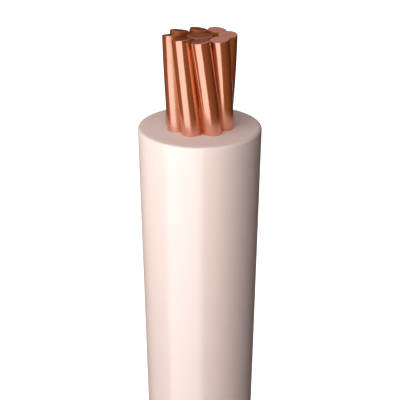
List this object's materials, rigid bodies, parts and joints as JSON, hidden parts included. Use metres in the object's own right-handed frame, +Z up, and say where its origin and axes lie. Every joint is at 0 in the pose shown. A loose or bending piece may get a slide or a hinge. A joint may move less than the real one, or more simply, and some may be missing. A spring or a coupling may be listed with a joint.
{
  "type": "coil of electrical wire",
  "caption": "Coil of white single-core building wire lying flat in its straps, its outer end standing up with the jacket cut back from twisted bare copper strands.",
  "frame": {"origin": "on the coil's axis, on the floor that its straps lie on", "axes": "+Z up along the coil's axis; +Y from the axis towards the standing free end, which is also the way the picture's camera looks"},
  "size_m": [0.3714, 0.3718, 0.1521],
  "materials": {
    "white_jacket": "satin warm-white PVC",
    "bare_copper": null,
    "strapping": "black plastic strapping"
  },
  "bodies": {
    "root": {"wound_turns": "white_jacket", "free_end_jacket": "white_jacket", "centre_strand": "bare_copper", "outer_strand_1": "bare_copper", "outer_strand_2": "bare_copper", "outer_strand_3": "bare_copper", "outer_strand_4": "bare_copper", "outer_strand_5": "bare_copper", "outer_strand_6": "bare_copper", "outer_strand_7": "bare_copper", "outer_strand_8": "bare_copper", "strap_1": "strapping", "strap_2": "strapping", "strap_3": "strapping", "strap_4": "strapping"}
  },
  "joints": []
}
